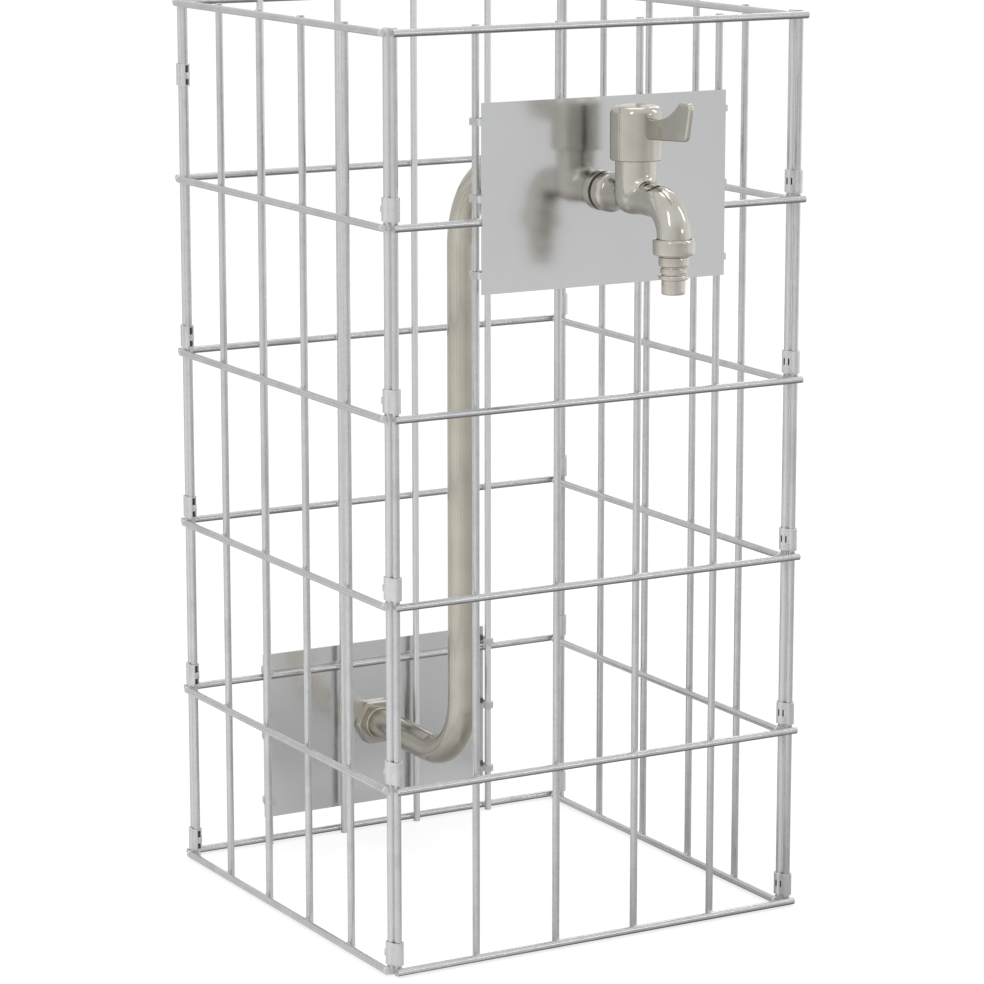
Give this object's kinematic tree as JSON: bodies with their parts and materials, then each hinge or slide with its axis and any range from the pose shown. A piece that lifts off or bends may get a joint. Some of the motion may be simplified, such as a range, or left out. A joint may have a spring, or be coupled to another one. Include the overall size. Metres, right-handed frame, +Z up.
{
  "type": "garden standpipe",
  "caption": "Stone-filled wire cage standpipe: a square tower of welded mesh with a bent riser pipe inside, a lever tap on its front plate and an inlet low at the back.",
  "frame": {"origin": "middle of the cage's square footprint, on the ground", "axes": "+Z up; the tap looks along -Y; the water supply comes off along +Y; +X is to the right seen from the front"},
  "size_m": [0.2607, 0.3666, 0.505],
  "materials": {
    "galvanised_wire": "hot-dip galvanised, dull grey with fine spangle",
    "clip_steel": "galvanised sheet, matt",
    "plate_steel": "satin stainless sheet with blurred reflections",
    "plated_pipe": "satin nickel plate",
    "plated_brass": "satin nickel plate, warm grey",
    "raw_brass": "turned, bright",
    "spring_steel": "dark, oiled",
    "ceramic": "lapped ceramic, glossy",
    "fibre": "red fibre washer",
    "seal_rubber": "black rubber, matt"
  },
  "bodies": {
    "standpipe": {"front_mesh_panel": "galvanised_wire", "back_mesh_panel": "galvanised_wire", "left_mesh_panel": "galvanised_wire", "right_mesh_panel": "galvanised_wire", "front_left_clips": "clip_steel", "front_right_clips": "clip_steel", "back_left_clips": "clip_steel", "back_right_clips": "clip_steel", "tap_plate": "plate_steel", "inlet_plate": "plate_steel", "riser_pipe": "plated_pipe", "upper_pipe_tail": "plated_brass", "lower_hex_socket": "plated_brass", "tap_inlet_gasket": "seal_rubber", "lower_joint_gasket": "seal_rubber", "tap_wall_washer": "seal_rubber", "inlet_connector": "plated_brass", "inlet_washer": "seal_rubber", "tap_body": "plated_brass", "cartridge_sleeve": "raw_brass", "cartridge_washer": "fibre", "cartridge_seat_seal": "seal_rubber", "fixed_ceramic_disc": "ceramic"},
    "lever": {"lever_handle": "plated_brass", "spindle": "raw_brass", "moving_ceramic_disc": "ceramic", "spindle_o_rings": "seal_rubber", "spindle_circlip": "spring_steel", "handle_grub_screw": "spring_steel"},
    "tail": {"hose_tail": "plated_brass", "hose_washer": "seal_rubber"},
    "nut": {"hose_union_nut": "plated_brass"}
  },
  "joints": [
    {"name": "lever_turn", "type": "hinge", "parent": "standpipe", "child": "lever", "pos_m": [0, -0.1622, 0.45], "axis": [0, 0, 1], "range_deg": [-90, 0]},
    {"name": "hose_tail_slide", "type": "slide", "parent": "standpipe", "child": "tail", "axis": [0, 0, -1], "range_m": [0, 0.00534]},
    {"name": "union_nut_turn", "type": "hinge", "parent": "tail", "child": "nut", "pos_m": [0, -0.1992, 0.39], "axis": [0, 0, -1], "range_deg": [0, 1440]}
  ],
  "couplings": [
    {"joint": "union_nut_turn", "follows": "hose_tail_slide", "rad_per_m": 4699.5}
  ]
}
